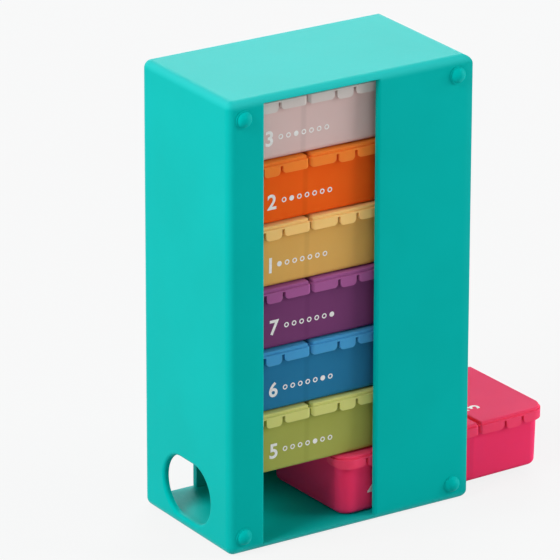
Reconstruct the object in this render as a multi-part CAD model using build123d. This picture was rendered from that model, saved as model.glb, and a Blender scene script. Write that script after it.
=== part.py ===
from build123d import *
import math
import os

# Weekly pill organizer. A slip case, open on its right side, holds seven day trays stacked on
# each other. Each tray has three compartments, and each compartment has its own lid, hinged at
# the back. The lowest tray is pulled part of the way out to the right.
# Frame: millimetres, +X to the right, +Y to the back, +Z up. The origin is the centre of the
# face that the case stands on.

# Day trays with their lids, from outline to outline
colours = ["pink", "green", "blue", "purple", "yellow", "orange", "clear"]
lid_names = ["left", "middle", "right"]
lid_pitch = 30.3
lid_gap = 0.5
box_depth = 49.5
box_height = 22.8

# Room around the trays in the case
stack_gap = 0.2
head_play = 0.6
side_play = 1.55
end_play = 1.8
mouth_recess = 4.6

# How far each tray stands out to the right of its stop, from the bottom up. The lowest one also
# stands askew: it is turned within its side play until only turned_gap is left at its corners.
pulled_out = [42.5, 1.8, 1.6, 1.8, 1.5, 0.8, 0.0]
turned_gap = 0.2

# Slip case
case_wall = 2.2
case_floor = 2.2
case_roof = 2.2
case_edge_radius = 3.0
case_mouth_radius = 3.5
case_inner_radius = 1.0

# Front window, from the floor's top to the roof's underside
window_left_strip = 14.1
window_width = 46.3
window_edge_radius = 0.8

# Finger hole in the left wall, in line with the lowest tray
finger_hole_length = 30.5
finger_hole_height = 22.0
finger_hole_sill = 2.1
finger_hole_rim_radius = 1.2

# Opening low in the back wall, at its left end
rear_slot_left_strip = 5.2
rear_slot_width = 15.3
rear_slot_headroom = 2.0
rear_slot_corner_radius = 4.0

# Domes on the front face
dome_radius = 3.0
dome_height = 2.1
dome_collar_width = 0.3
dome_collar_height = 0.35
dome_side_margin = 6.0
dome_end_margin = 6.6

# Lids: a stepped plate, a skirt with tabs and a rim that plugs the compartment
lid_top_thickness = 1.2
lid_ledge_thickness = 0.6
lid_step = 0.6
lid_web = 1.1
lid_top_edge_radius = 0.5
lid_outer_corner_radius = 6.5
lid_inner_corner_radius = 1.2
lid_seat_gap = 0.1
skirt_thickness = 1.1
skirt_gap = 0.35
wide_tab_drop = 2.8
thumb_tab_drop = 3.3
thumb_tab_width = 6.4
tab_notch = 1.2
tab_corner_radius = 1.5
skirt_return = 9.0
skirt_return_radius = 2.5
plug_clearance = 0.3
plug_wall = 1.0
plug_depth = 1.5

# Tray bodies
tray_wall = 1.3
tray_floor = 1.3
tray_divider = 1.6
tray_draft = 1.5
tray_corner_radius = 5.2
tray_foot_radius = 2.0
cavity_corner_radius = 3.0
cavity_foot_radius = 2.6
latch_bead_width = 5.0
latch_bead_height = 0.8
latch_bead_proud = 0.2
latch_bead_rise = 0.4

# Snap hinge at the back of each lid: trunnions on a knuckle, in two ears on the tray
pin_radius = 0.7
pin_clearance = 0.08
pin_shortfall = 0.3
knuckle_wall = 0.6
knuckle_width = 12.0
knuckle_gap = 0.2
ear_wall = 0.62
ear_width = 2.0
ear_side_gap = 0.3
ear_lid_gap = 0.3
ear_margin = 0.1
ear_top_gap = 0.2
ear_root = 0.8
ear_drop = 4.6
ear_slope = 45.0

# Tolerance for finding edges, and the smallest radius that a drawn-in corner keeps
touch = 0.01
least_radius = 0.3

# Worked out from the driving dimensions
stack_pitch = box_height + stack_gap
box_length = lid_pitch * len(lid_names) - lid_gap
lid_width = lid_pitch - lid_gap
case_width = case_wall + end_play + box_length + mouth_recess
case_depth = 2 * (case_wall + side_play) + box_depth
case_height = case_floor + stack_pitch * len(colours) + head_play + case_roof
case_left = -case_width / 2
case_front = -case_depth / 2
inner_left = case_left + case_wall
inner_height = case_height - case_floor - case_roof
finger_hole_centre = case_floor + finger_hole_sill + finger_hole_height / 2
stowed_x = inner_left + end_play + box_length / 2
turning_arm = box_length / 2 - lid_outer_corner_radius
lowest_turn = math.degrees(math.asin((side_play - turned_gap) / turning_arm))
pin_hole_radius = pin_radius + pin_clearance
knuckle_radius = pin_radius + knuckle_wall
ear_radius = pin_hole_radius + ear_wall
hinge_y = box_depth / 2 - ear_radius - ear_margin
hinge_height = box_height - ear_radius - ear_top_gap
lid_front = -box_depth / 2
lid_back = hinge_y - ear_radius - ear_lid_gap
ledge_height = box_height - lid_top_thickness
lid_underside = ledge_height - lid_ledge_thickness
rim_height = lid_underside - lid_seat_gap
tray_overhang = skirt_thickness + skirt_gap
tray_front = lid_front + tray_overhang
tray_back = hinge_y - knuckle_radius - knuckle_gap
tray_length = box_length - 2 * tray_overhang


def block(x0, x1, y0, y1, z0, z1):
    """Box between two corners."""
    return Pos((x0 + x1) / 2, (y0 + y1) / 2, (z0 + z1) / 2) * Box(x1 - x0, y1 - y0, z1 - z0)


def panel(x0, x1, y0, y1):
    """Flat rectangle between two corners."""
    return Pos((x0 + x1) / 2, (y0 + y1) / 2) * Rectangle(x1 - x0, y1 - y0)


def rounded_panel(x0, x1, y0, y1, radius_at):
    """Flat rectangle whose corners have the radius that radius_at gives for their place."""
    outline = panel(x0, x1, y0, y1)
    for x in (x0, x1):
        for y in (y0, y1):
            corner = outline.vertices().sort_by_distance(Vector(x, y, 0))[0]
            outline = fillet(corner, radius_at(x, y))
    return outline


def extrude_down(outline, top, depth, draft):
    """Solid from an outline at height top down by depth, drawn in by the draft angle."""
    return extrude(Pos(0, 0, top) * outline, depth, dir=(0, 0, -1), taper=draft)


def middle_of(index):
    """Centre of a lid along the tray."""
    return (index - (len(lid_names) - 1) / 2) * lid_pitch


def outer_end(index):
    """Which end of the tray a lid closes: -1 left, 1 right, 0 neither."""
    return (index == len(lid_names) - 1) - (index == 0)


def slip_case():
    """Shell open on the right, with its window, finger hole, rear slot and domes."""
    body = Pos(0, 0, case_height / 2) * Box(case_width, case_depth, case_height)
    mouth = body.faces().sort_by(Axis.X)[-1]
    body = fillet(body.edges() - mouth.edges(), case_edge_radius)
    side_view = Pos(0, case_height / 2) * Rectangle(case_width, case_height)
    side_view = fillet(side_view.vertices().group_by(Axis.X)[-1], case_mouth_radius)
    body &= extrude(Plane.XZ * side_view, case_depth, both=True)

    inside = block(
        inner_left,
        case_width,
        case_front + case_wall,
        -case_front - case_wall,
        case_floor,
        case_floor + inner_height,
    )
    deep_face = inside.faces().sort_by(Axis.X)[0]
    body -= fillet(deep_face.edges(), case_inner_radius)

    body = cut_window(body)
    body = cut_finger_hole(body)

    slot_left = case_left + rear_slot_left_strip
    slot = block(
        slot_left,
        slot_left + rear_slot_width,
        -case_front - 2 * case_wall,
        -case_front + case_wall,
        case_floor,
        case_floor + box_height + rear_slot_headroom,
    )
    slot_top = slot.faces().sort_by(Axis.Z)[-1]
    body -= fillet(slot_top.edges().filter_by(Axis.Y), rear_slot_corner_radius)

    for x in (case_left + dome_side_margin, -case_left - dome_side_margin):
        for z in (dome_end_margin, case_height - dome_end_margin):
            body += Pos(x, case_front, z) * front_dome()
    return body


def cut_window(body):
    """Window in the front wall, with its two upright edges eased on the outside."""
    left = case_left + window_left_strip
    right = left + window_width
    front = case_front - case_wall
    body -= block(left, right, front, case_front + 2 * case_wall, case_floor, case_floor + inner_height)
    outer_edges = [
        edge
        for edge in body.edges().filter_by(Axis.Z)
        if abs(edge.center().Y - case_front) < touch and left - touch < edge.center().X < right + touch
    ]
    return fillet(outer_edges, window_edge_radius)


def cut_finger_hole(body):
    """Long round-ended hole in the left wall, with its outer rim eased."""
    hole = Pos(0, finger_hole_centre) * SlotOverall(finger_hole_length, finger_hole_height)
    body -= Pos(case_left, 0, 0) * extrude(Plane.YZ * hole, 2 * case_wall, both=True)
    left_face = body.faces().filter_by(Axis.X).sort_by(Axis.X)[0]
    rim = left_face.inner_wires()[0].edges()
    return fillet(rim, finger_hole_rim_radius)


def front_dome():
    """Low collar with a ball cap on it, pointing to the front, rooted in the wall."""
    ball_radius = (dome_radius**2 + dome_height**2) / (2 * dome_height)
    ball = Pos(0, ball_radius - dome_height, 0) * Sphere(ball_radius)
    root = case_wall / 2
    cap = ball & block(-dome_radius, dome_radius, -dome_height, root, -dome_radius, dome_radius)
    collar_length = dome_collar_height + root
    collar = Rot(90, 0, 0) * Cylinder(dome_radius + dome_collar_width, collar_length)
    return Pos(0, root - collar_length / 2, 0) * collar + cap


def cavity_outline(index, inset):
    """Mouth of a compartment, drawn in by inset."""
    to_divider = lid_pitch / 2 - tray_divider / 2
    to_end = tray_length / 2 - tray_wall
    left = -to_end if outer_end(index) == -1 else middle_of(index) - to_divider
    right = to_end if outer_end(index) == 1 else middle_of(index) + to_divider
    radius = max(cavity_corner_radius - inset, least_radius)
    front = tray_front + tray_wall + inset
    back = tray_back - tray_wall - inset
    return rounded_panel(left + inset, right - inset, front, back, lambda x, y: radius)


def day_tray():
    """Tray with its compartments, two hinge ears for each lid and a latch bead under each."""
    half = tray_length / 2
    rim = rounded_panel(-half, half, tray_front, tray_back, lambda x, y: tray_corner_radius)
    tray = extrude_down(rim, rim_height, rim_height, tray_draft)
    tray = fillet(tray.faces().sort_by(Axis.Z)[0].edges(), tray_foot_radius)
    for index in range(len(lid_names)):
        outline = cavity_outline(index, 0)
        cavity = extrude_down(outline, rim_height, rim_height - tray_floor, tray_draft)
        tray -= fillet(cavity.faces().sort_by(Axis.Z)[0].edges(), cavity_foot_radius)
        ear_x = knuckle_width / 2 + ear_side_gap + ear_width / 2
        tray += Pos(middle_of(index) - ear_x, 0, 0) * hinge_ear()
        tray += Pos(middle_of(index) + ear_x, 0, 0) * hinge_ear()
        tray += Pos(middle_of(index), 0, 0) * latch_bead()
    return tray


def latch_bead():
    """Short bead on the tray's front, behind the thumb tab."""
    bottom = lid_underside - thumb_tab_drop + latch_bead_rise
    half = latch_bead_width / 2
    front = tray_front - latch_bead_proud
    return block(-half, half, front, tray_front + tray_wall / 2, bottom, bottom + latch_bead_height)


def hinge_ear():
    """Ear on the tray's back wall with the hole for one trunnion, on a sloping gusset."""
    root = tray_back - ear_root
    slope = math.radians(ear_slope)
    corners = [
        (root, rim_height),
        (root, rim_height - ear_drop),
        (hinge_y + ear_radius * math.sin(slope), hinge_height - ear_radius * math.cos(slope)),
        (hinge_y, hinge_height),
        (tray_back, rim_height),
    ]
    ear = make_face(Polyline(corners, close=True))
    ear += Pos(hinge_y, hinge_height) * Circle(ear_radius)
    ear -= Pos(hinge_y, hinge_height) * Circle(pin_hole_radius)
    return extrude(Plane.YZ * ear, ear_width / 2, both=True)


def lid_outline(index, inset):
    """Plan of a lid, drawn in by inset: a large corner at the tray's front ends, small elsewhere."""
    left = middle_of(index) - lid_width / 2 + inset
    right = middle_of(index) + lid_width / 2 - inset
    end = outer_end(index) * (box_length / 2 - inset)

    def radius_at(x, y):
        at_front_end = end != 0 and abs(x - end) < touch and y < 0
        full = lid_outer_corner_radius if at_front_end else lid_inner_corner_radius
        return max(full - inset, least_radius)

    return rounded_panel(left, right, lid_front + inset, lid_back - inset, radius_at)


def tab(x0, x1, drop):
    """Front view of one tab of the skirt, its two lower corners rounded."""
    shape = panel(x0, x1, lid_underside - drop, ledge_height)
    return fillet(shape.vertices().group_by(Axis.Y)[0], tab_corner_radius)


def lid_skirt(index):
    """Wall that hangs from a lid's front edge in three tabs and turns the tray's corner."""
    middle = middle_of(index)
    left = middle - lid_width / 2
    right = middle + lid_width / 2
    thumb = thumb_tab_width / 2
    wide = thumb + tab_notch
    view = panel(left, right, lid_underside, ledge_height)
    view += tab(middle - thumb, middle + thumb, thumb_tab_drop)
    view += tab(left, middle - wide, wide_tab_drop) + tab(middle + wide, right, wide_tab_drop)

    outside = extrude(lid_outline(index, 0), ledge_height)
    ring = outside - extrude(lid_outline(index, skirt_thickness), ledge_height)
    front = lid_front - skirt_thickness
    reach = block(left, right, front, lid_front + skirt_thickness, 0, ledge_height)
    if outer_end(index):
        end = outer_end(index) * box_length / 2
        near = end - outer_end(index) * lid_outer_corner_radius
        bottom = lid_underside - wide_tab_drop
        back = lid_front + skirt_return
        turn = block(min(near, end), max(near, end), lid_front, back, bottom, ledge_height)
        low_back_edge = turn.edges().filter_by(Axis.X).group_by(Axis.Z)[0].sort_by(Axis.Y)[-1]
        reach += fillet(low_back_edge, skirt_return_radius)
    return ring & extrude(Plane.XZ * view, box_depth, both=True) & reach


def lid_hinge(index):
    """Knuckle with its two trunnions, bridged to the plate's back edge."""
    place = Pos(middle_of(index), hinge_y, hinge_height) * Rot(0, 90, 0)
    pin_length = knuckle_width + 2 * (ear_side_gap + ear_width - pin_shortfall)
    left = middle_of(index) - knuckle_width / 2
    top = hinge_height + knuckle_radius
    bridge = block(left, left + knuckle_width, lid_back - lid_web, hinge_y, lid_underside, top)
    pin = place * Cylinder(pin_radius, pin_length)
    return place * Cylinder(knuckle_radius, knuckle_width) + pin + bridge


def day_lid(index):
    """Stepped plate with its skirt, its plug rim and its hinge."""
    lid = extrude(Pos(0, 0, lid_underside) * lid_outline(index, 0), lid_ledge_thickness)
    top = extrude(Pos(0, 0, lid_underside) * lid_outline(index, lid_step), box_height - lid_underside)
    lid += fillet(top.faces().sort_by(Axis.Z)[-1].edges(), lid_top_edge_radius)
    lid += lid_skirt(index)
    plug_foot = lid_underside - plug_depth
    lid += extrude(Pos(0, 0, plug_foot) * cavity_outline(index, plug_clearance), plug_depth)
    recess = Pos(0, 0, plug_foot) * cavity_outline(index, plug_clearance + plug_wall)
    lid -= extrude(recess, box_height - lid_web - plug_foot)
    return lid + lid_hinge(index)


os.makedirs("parts", exist_ok=True)
export_step(slip_case(), "parts/slip_case.step")
tray_shape = day_tray()
lid_shapes = [day_lid(index) for index in range(len(lid_names))]
for level, (colour, slide) in enumerate(zip(colours, pulled_out)):
    turn = lowest_turn if level == 0 else 0
    place = Pos(stowed_x + slide, 0, case_floor + stack_gap + level * stack_pitch) * Rot(0, 0, turn)
    export_step(place * tray_shape, f"parts/{colour}_tray.step")
    for name, shape in zip(lid_names, lid_shapes):
        export_step(place * shape, f"parts/{colour}_lid_{name}.step")
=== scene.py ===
import math
import bpy
import numpy as np
from mathutils import Matrix, Vector
from mathutils.bvhtree import BVHTree


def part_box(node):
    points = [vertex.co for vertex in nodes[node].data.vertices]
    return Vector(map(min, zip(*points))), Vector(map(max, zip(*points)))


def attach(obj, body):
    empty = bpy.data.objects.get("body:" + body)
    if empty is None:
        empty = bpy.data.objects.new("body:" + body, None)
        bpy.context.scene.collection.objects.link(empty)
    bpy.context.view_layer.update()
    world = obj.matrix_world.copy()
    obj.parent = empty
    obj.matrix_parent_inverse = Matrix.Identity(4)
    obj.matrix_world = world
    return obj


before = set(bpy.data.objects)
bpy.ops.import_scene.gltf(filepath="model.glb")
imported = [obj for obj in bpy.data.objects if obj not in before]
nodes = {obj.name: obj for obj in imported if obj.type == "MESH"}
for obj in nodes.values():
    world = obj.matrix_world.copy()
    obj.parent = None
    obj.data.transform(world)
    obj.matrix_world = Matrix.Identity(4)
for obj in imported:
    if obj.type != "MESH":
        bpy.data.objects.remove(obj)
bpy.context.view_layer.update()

# Viewpoint. The organizer is seen from its front left corner and a little from above, through a
# long lens.
view_azimuth = math.radians(-32.70)
view_elevation = math.radians(20.97)
view_roll = math.radians(0.125)
camera_place = Vector((-0.9475, -1.4590, 0.7504))
camera_data = bpy.data.cameras.new("view")
camera_data.sensor_width = 36.0
camera_data.lens = 343.2
camera = bpy.data.objects.new("view", camera_data)
camera.rotation_mode = "QUATERNION"
look_back = Vector((
    math.sin(view_azimuth) * math.cos(view_elevation),
    -math.cos(view_azimuth) * math.cos(view_elevation),
    math.sin(view_elevation),
))
level_right = Vector((math.cos(view_azimuth), math.sin(view_azimuth), 0.0))
level_up = look_back.cross(level_right)
right = level_right * math.cos(view_roll) + level_up * math.sin(view_roll)
up = level_up * math.cos(view_roll) - level_right * math.sin(view_roll)
camera.rotation_quaternion = Matrix((right, up, look_back)).transposed().to_quaternion()
camera.location = camera_place
camera_data.clip_start = 0.05
camera_data.clip_end = 50.0
bpy.context.scene.collection.objects.link(camera)
bpy.context.scene.camera = camera
bpy.context.scene.view_settings.view_transform = "Standard"


# Maker's notation for the finishes: a socket that takes part in Python sums, so that a formula
# for a colour or a roughness reads as it would on paper.
class Value:
    def __init__(self, tree, source):
        self.tree = tree
        self.source = source

    def node(self, kind, settings=None, output=0, **inputs):
        """Any other node: its type, its settings, and the values or links of its sockets."""
        made = self.tree.nodes.new(kind)
        for name, setting in (settings or {}).items():
            setattr(made, name, setting)
        for name, given in inputs.items():
            place = int(name[1:]) if name[1:].isdigit() else name.replace("_", " ")
            socket = made.inputs[place]
            if isinstance(given, Value):
                self.tree.links.new(given.source, socket)
            else:
                socket.default_value = given
        return Value(self.tree, made.outputs[output])

    def maths(self, operation, *others):
        inputs = {f"s{i}": other for i, other in enumerate((self, *others))}
        return self.node("ShaderNodeMath", {"operation": operation}, **inputs)

    def __add__(self, other):
        return self.maths("ADD", other)

    def __radd__(self, other):
        return self.maths("ADD", other)

    def __sub__(self, other):
        return self.maths("SUBTRACT", other)

    def __rsub__(self, other):
        return (self * -1.0) + other

    def __mul__(self, other):
        return self.maths("MULTIPLY", other)

    def __rmul__(self, other):
        return self.maths("MULTIPLY", other)

    def size(self):
        return self.maths("ABSOLUTE")

    def most(self, other):
        return self.maths("MAXIMUM", other)

    def ramp(self, start, end):
        """0 at start, 1 at end, smooth between and level outside."""
        return self.node(
            "ShaderNodeMapRange", {"interpolation_type": "SMOOTHSTEP"}, s0=self, s1=start, s2=end
        )

    def noise(self, per_metre, detail=2.0):
        return self.node(
            "ShaderNodeTexNoise", Vector=self, Scale=per_metre, Detail=detail, Roughness=0.55
        )

    def part(self, axis):
        """One coordinate of a place: 0 is X, 1 is Y, 2 is Z."""
        return self.node("ShaderNodeSeparateXYZ", output=axis, s0=self)

    def blend(self, low, high):
        """Colour between low, where this is 0, and high, where it is 1."""
        colours = {"s6": low, "s7": high}
        for name, colour in colours.items():
            if not isinstance(colour, Value):
                colours[name] = (*colour, 1.0)
        return self.node("ShaderNodeMix", {"data_type": "RGBA"}, output=2, s0=self, **colours)

    def relief(self, depth, strength=1.0, under=None):
        """Surface normal over a height field, depth in metres."""
        inputs = {"Strength": strength, "Distance": depth, "Height": self}
        if under is not None:
            inputs["Normal"] = under
        return self.node("ShaderNodeBump", **inputs)


def finish(name):
    """New material: its place on the object, and a function that sets its shader's sockets."""
    material = bpy.data.materials.new(name)
    material.use_nodes = True
    tree = material.node_tree
    shader = tree.nodes["Principled BSDF"]
    place = Value(tree, tree.nodes.new("ShaderNodeTexCoord").outputs["Object"])

    def surface(**sockets):
        for socket_name, given in sockets.items():
            socket = shader.inputs[socket_name.replace("_", " ")]
            if isinstance(given, Value):
                tree.links.new(given.source, socket)
            elif isinstance(given, tuple) and len(given) == 3 and socket.type == "RGBA":
                socket.default_value = (*given, 1.0)
            else:
                socket.default_value = given
        return material

    return place, surface


def dress(node_names, material):
    """Gives CAD nodes their finish on the slots that they have."""
    for node_name in node_names:
        for index in range(len(nodes[node_name].material_slots)):
            nodes[node_name].material_slots[index].material = material


# Slip case. One injection moulding in turquoise plastic, with a fine spark-eroded grain outside.
# Its rounded edges are rubbed a little smoother than its flats, and the paler colour along them is
# a painted highlight.
case_low, case_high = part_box("slip_case")
case_turquoise = (0.0, 0.476, 0.443)
case_deep = (0.0, 0.447, 0.410)
# Paler edge colour: a painted highlight along the rounded edges.
case_edge_highlight = (0.040, 0.574, 0.558)
case_roughness = 0.46
case_cloud_per_metre = 22.0
case_flow_per_metre = 60.0
case_flow_depth = 0.0004
grain_per_metre = 2600.0
grain_depth = 0.00006
grain_mottle = 0.4
grain_roughness = 0.12
edge_band = 0.0035
upright_edge_share = 0.15
highlight_cover = 0.8
wear_polish = 0.12

place, surface = finish("case_turquoise")
half_width = (case_high.x - case_low.x) / 2
half_height = case_high.z / 2
from_side = half_width - (place.part(0) - (case_low.x + half_width)).size()
from_front = case_high.y - place.part(1).size()
from_end = half_height - (place.part(2) - half_height).size()
near_side = from_side.ramp(edge_band, 0.0)
near_front = from_front.ramp(edge_band, 0.0)
near_end = from_end.ramp(edge_band, 0.0)
edge = (near_side * near_front * upright_edge_share).most(near_end * near_side.most(near_front))
cloud = place.noise(case_cloud_per_metre, 3.0)
grain = place.noise(grain_per_metre, 1.0)
flow = place.noise(case_flow_per_metre, 2.0)
mottle = (grain - 0.5) * grain_mottle
flats = (cloud.ramp(0.25, 0.75) + mottle).blend(case_deep, case_turquoise)
# Along the rounded edges the colour is blended towards the painted highlight.
case_plastic = surface(
    Base_Color=(edge * highlight_cover).blend(flats, case_edge_highlight),
    Roughness=case_roughness + grain * grain_roughness - edge * wear_polish,
    Normal=grain.relief(grain_depth, 0.5, flow.relief(case_flow_depth, 0.25)),
    Specular_IOR_Level=0.09,
    Specular_Tint=(0.0, 1.0, 0.95),
)
dress(["slip_case"], case_plastic)


# Day trays. Seven thin-walled cloudy polypropylene mouldings, each in its own colour. Where a
# divider stands behind the front wall, a darker upright line is painted in: painted shade of the
# divider.
tray_colours = {
    "pink": (0.98, 0.048, 0.160),
    "green": (0.40, 0.426, 0.100),
    "blue": (0.026, 0.199, 0.378),
    "purple": (0.198, 0.056, 0.170),
    "yellow": (0.74, 0.43, 0.120),
    "orange": (0.92, 0.134, 0.013),
    "clear": (0.74, 0.550, 0.525),
}
# Lid colours: the tray colours painted paler as painted light, the pink one also with a painted
# sheen.
lid_colours_painted_paler = {
    "pink": (0.98, 0.070, 0.165),
    "green": (0.65, 0.664, 0.221),
    "blue": (0.073, 0.348, 0.640),
    "purple": (0.394, 0.115, 0.316),
    "yellow": (0.98, 0.62, 0.225),
    "orange": (0.98, 0.254, 0.041),
    "clear": (0.72, 0.635, 0.605),
}
compartments = 3
divider_shift = 0.0014
divider_dark_half = 0.0004
divider_fade_half = 0.0016
divider_painted_shade = 0.20
cloud_shade = 0.10
dark_share = 0.62
tray_cloud_per_metre = 45.0
tray_flow_per_metre = 120.0
tray_flow_depth = 0.0002
tray_roughness = 0.34
cloud_roughness = 0.12
light_depths = (0.006, 0.005, 0.005)


def polypropylene(name, tint, divider_places):
    """Cloudy plastic: tint, with painted shade where a divider stands behind the wall, with faint
    flow.
    """
    place, surface = finish(name)
    cloud = place.noise(tray_cloud_per_metre, 3.0)
    shade = cloud.ramp(0.3, 0.7) * cloud_shade
    # Painted shade: a darker upright line where each divider stands behind the wall.
    for x in divider_places:
        line = (place.part(0) - x).size().ramp(divider_fade_half, divider_dark_half)
        shade = shade + line * divider_painted_shade
    darker = tuple(channel * dark_share for channel in tint)
    return surface(
        Base_Color=shade.blend(tint, darker),
        Roughness=tray_roughness + cloud * cloud_roughness,
        Normal=place.noise(tray_flow_per_metre, 2.0).relief(tray_flow_depth, 0.12),
        Subsurface_Weight=0.6,
        Subsurface_Radius=light_depths,
        Specular_IOR_Level=0.004,
    )


for name, tint in tray_colours.items():
    low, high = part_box(f"{name}_tray")
    third = (high.x - low.x) / compartments
    dividers = [low.x + third - divider_shift, high.x - third - divider_shift]
    dress([f"{name}_tray"], polypropylene(f"{name}_tray", tint, dividers))


# Compartment lids. Each is a stepped plate with a skirt, moulded in its tray's colour. Being thin
# and free of what is behind it, it looks paler than the tray; that paleness is painted into its
# colour as painted light, with a painted sheen on the pink lid.
lid_places = ["left", "middle", "right"]
for name, tint in lid_colours_painted_paler.items():
    dress([f"{name}_lid_{lid}" for lid in lid_places], polypropylene(f"{name}_lid", tint, []))


# Print on the trays' fronts. White ink, pad printed in one thin film: the day's number, and a row
# of seven rings of which the day's own is filled in.
days = {"pink": 4, "green": 5, "blue": 6, "purple": 7, "yellow": 1, "orange": 2, "clear": 3}
ink_thickness = 0.00005
figure_height = 0.0056
figure_weight = 0.00012
figure_start = 0.0125
print_base = 0.0052
ring_pitch = 0.0031
ring_outer = 0.00095
ring_inner = 0.00055
ring_sides = 32
ink_thin = (0.82, 0.80, 0.78)
ink_full = (0.89, 0.88, 0.87)
ink_roughness = 0.45
speckle_per_metre = 900.0
speckle_depth = 0.00002
speckle_roughness = 0.15

place, surface = finish("print_ink")
speckle = place.noise(speckle_per_metre, 2.0)
ink = surface(
    Base_Color=speckle.ramp(0.35, 0.65).blend(ink_thin, ink_full),
    Roughness=ink_roughness + speckle * speckle_roughness,
    Normal=speckle.relief(speckle_depth, 0.3),
    Specular_IOR_Level=0.30,
)


def figure(text, height):
    """Figures as a closed film: points across, up and outwards from their lower left, and faces."""
    curve = bpy.data.curves.new("figure", "FONT")
    curve.body = text
    curve.size = 1.0
    curve.offset = figure_weight / height
    curve.resolution_u = 6
    curve.extrude = 0.5
    maker = bpy.data.objects.new("figure", curve)
    mesh = bpy.data.meshes.new_from_object(maker)
    points = np.empty(len(mesh.vertices) * 3)
    mesh.vertices.foreach_get("co", points)
    points = points.reshape(-1, 3)
    points[:, :2] -= points[:, :2].min(axis=0)
    points[:, :2] *= height / points[:, 1].max()
    points[:, 2] = (points[:, 2] + 0.5) * ink_thickness
    faces = [tuple(face.vertices) for face in mesh.polygons]
    bpy.data.objects.remove(maker)
    bpy.data.curves.remove(curve)
    bpy.data.meshes.remove(mesh)
    return points, faces


def ring(inner, outer):
    """Flat ring about the origin: a rectangle, inner to outer by the ink's thickness, carried
    round a circle. An inner radius of nothing gives a disc with a face on each side."""
    turn = np.linspace(0.0, 2 * np.pi, ring_sides, endpoint=False)
    steps = np.arange(ring_sides)
    after = (steps + 1) % ring_sides
    if inner > 0:
        profile = np.array([(inner, 0.0), (outer, 0.0), (outer, 1.0), (inner, 1.0)])
    else:
        profile = np.array([(outer, 0.0), (outer, 1.0)])
    radius = profile[:, 0][:, None]
    points = np.stack(np.broadcast_arrays(
        radius * np.cos(turn), radius * np.sin(turn), profile[:, 1][:, None] * ink_thickness
    ), axis=-1).reshape(-1, 3)
    rows = len(profile)
    faces = []
    for row in range(rows if inner > 0 else 1):
        near, far = row * ring_sides, (row + 1) % rows * ring_sides
        faces += np.stack((near + steps, near + after, far + after, far + steps), axis=1).tolist()
    if inner == 0:
        faces += [(ring_sides + steps).tolist(), steps[::-1].tolist()]
    return points, faces


def film(name, shapes, origin, across, up):
    """One mesh of ink from shapes, each with its own place, laid on the plane of across and up."""
    outwards = across.cross(up)
    to_world = np.array([across, up, outwards])
    points, faces, count = [], [], 0
    for shape_points, shape_faces, (right_by, up_by) in shapes:
        points.append((shape_points + (right_by, up_by, 0.0)) @ to_world + np.array(origin))
        faces += [[corner + count for corner in face] for face in shape_faces]
        count += len(shape_points)
    mesh = bpy.data.meshes.new(name)
    mesh.from_pydata(np.concatenate(points).tolist(), [], faces)
    mesh.materials.append(ink)
    piece = bpy.data.objects.new(name, mesh)
    bpy.context.scene.collection.objects.link(piece)
    return piece


# Where the rays that find a tray's front wall meet it: how far from its ends and how high.
ray_inset = 0.02
ray_low = 0.006
ray_high = 0.014


def wall_plane(node_name):
    """A tray's front wall, found by three rays from the front: a point at its foot's height and
    its left end, the direction along it and the direction up it."""
    low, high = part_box(node_name)
    mesh = nodes[node_name].data
    faces = [tuple(face.vertices) for face in mesh.polygons]
    tree = BVHTree.FromPolygons([vertex.co.copy() for vertex in mesh.vertices], faces)

    def touch(x, z):
        return tree.ray_cast(Vector((x, low.y - ray_inset, z)), Vector((0.0, 1.0, 0.0)))[0]

    lower, upper = low.z + ray_low, low.z + ray_high
    first = touch(low.x + ray_inset, lower)
    along = (touch(high.x - ray_inset, lower) - first).normalized()
    up = (touch(low.x + ray_inset, upper) - first).normalized()
    up = (up - along * up.dot(along)).normalized()
    origin = first - along * ray_inset - up * (first.z - low.z) / up.z
    return origin, along, up


for name, day in days.items():
    origin, along, up = wall_plane(f"{name}_tray")
    figure_points, figure_faces = figure(str(day), figure_height)
    shapes = [(figure_points, figure_faces, (figure_start, print_base))]
    first_ring = figure_start + figure_points[:, 0].max() + ring_pitch
    for number in range(1, len(days) + 1):
        points, faces = ring(0 if number == day else ring_inner, ring_outer)
        place_across = first_ring + (number - 1) * ring_pitch
        shapes.append((points, faces, (place_across, print_base + figure_height / 2)))
    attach(film(f"{name}_front_print", shapes, origin, along, up), f"{name}_box")


# Print on the lids. The number of the time of day, in the same white ink, set to be read from the
# right end of the tray, near the left edge of each lid's flat top.
lid_figure_height = 0.0062
lid_figure_left = 0.0125
lid_figure_front = 0.0130
for name in lid_colours_painted_paler:
    along = wall_plane(f"{name}_tray")[1]
    back = Vector((0.0, 0.0, 1.0)).cross(along)
    for number, lid in enumerate(lid_places, 1):
        low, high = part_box(f"{name}_lid_{lid}")
        middle = Vector(((low.x + high.x) / 2, (low.y + high.y) / 2, high.z))
        origin = middle - along * lid_figure_left - back * lid_figure_front
        points, faces = figure(str(number), lid_figure_height)
        shapes = [(points, faces, (0.0, -lid_figure_height))]
        piece = film(f"{name}_lid_{lid}_print", shapes, origin, back, -along)
        moves_alone = (name, lid) == ("pink", "right")
        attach(piece, "pink_right_lid" if moves_alone else f"{name}_box")


# Studio. A plain white floor, a broad lamp high on the left, a broader one behind on the right, a
# smaller one low in front on the right, and an even sky.
floor_reach = 6.0
plain_white = (1.0, 1.0, 1.0, 1.0)
paper_grey = (0.58, 0.58, 0.58, 1.0)
glow_strength = 0.97
glow_share = 0.88
sky_light = 0.32
aim_height = 0.08

floor_mesh = bpy.data.meshes.new("floor")
corners = [(x * floor_reach, y * floor_reach, 0) for x, y in ((-1, -1), (1, -1), (1, 1), (-1, 1))]
floor_mesh.from_pydata(corners, [], [(0, 1, 2, 3)])
floor = bpy.data.objects.new("floor", floor_mesh)
bpy.context.scene.collection.objects.link(floor)


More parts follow.
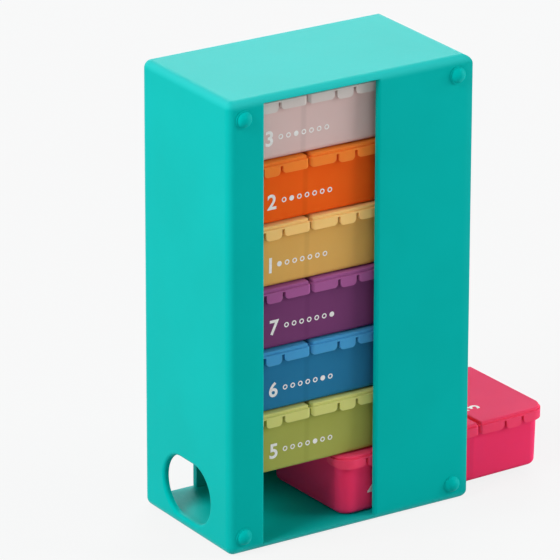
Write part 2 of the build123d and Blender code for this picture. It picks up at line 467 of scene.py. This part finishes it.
def backdrop_rays(tree):
    """1 where a ray sees the backdrop straight, in gloss or through glass, 0 where it lights."""
    path = tree.nodes.new("ShaderNodeLightPath")
    camera_ray, glossy_ray, transmission_ray = (
        Value(tree, path.outputs[f"Is {kind} Ray"]) for kind in ("Camera", "Glossy", "Transmission")
    )
    return camera_ray.most(glossy_ray).most(transmission_ray)


white = bpy.data.materials.new("floor_white")
white.use_nodes = True
tree = white.node_tree
tree.nodes.clear()
seen = backdrop_rays(tree)
paper = seen.node("ShaderNodeBsdfDiffuse", Color=paper_grey)
glow = seen.node("ShaderNodeEmission", Color=plain_white, Strength=glow_strength)
mixed = seen.node("ShaderNodeMixShader", s0=seen * glow_share, s1=paper, s2=glow)
output = tree.nodes.new("ShaderNodeOutputMaterial")
tree.links.new(mixed.source, output.inputs["Surface"])
floor_mesh.materials.append(white)


def lamp(name, direction, distance, level, size, colour=(1.0, 1.0, 1.0)):
    """Square lamp aimed at the object's middle. level is how bright it makes a white face that
    is square on to it: the energy is level by pi squared by the distance squared."""
    data = bpy.data.lights.new(name, "AREA")
    data.size = size
    data.color = colour
    data.energy = level * math.pi**2 * distance**2
    made = bpy.data.objects.new(name, data)
    aim = Vector(direction).normalized()
    made.location = Vector((0.0, 0.0, aim_height)) + aim * distance
    made.rotation_mode = "QUATERNION"
    made.rotation_quaternion = aim.to_track_quat("Z", "Y")
    made.visible_camera = False
    bpy.context.scene.collection.objects.link(made)


lamp("key_lamp", direction=(-0.79, -0.02, 0.61), distance=1.6, level=0.90, size=0.9)
lamp(
    "rear_lamp", direction=(0.50, 0.74, 0.50), distance=1.8, level=0.63, size=1.2,
    colour=(0.88, 0.96, 1.0),
)
lamp("side_lamp", direction=(0.85, -0.45, 0.28), distance=1.20, level=0.63, size=0.66)

world = bpy.data.worlds.new("sky")
bpy.context.scene.world = world
world.use_nodes = True
tree = world.node_tree
tree.nodes.clear()
seen = backdrop_rays(tree)
even = seen.node("ShaderNodeBackground", Color=plain_white, Strength=sky_light)
bright = seen.node("ShaderNodeBackground", Color=plain_white, Strength=1.0)
mixed = seen.node("ShaderNodeMixShader", s0=seen, s1=even, s2=bright)
output = tree.nodes.new("ShaderNodeOutputWorld")
tree.links.new(mixed.source, output.inputs["Surface"])
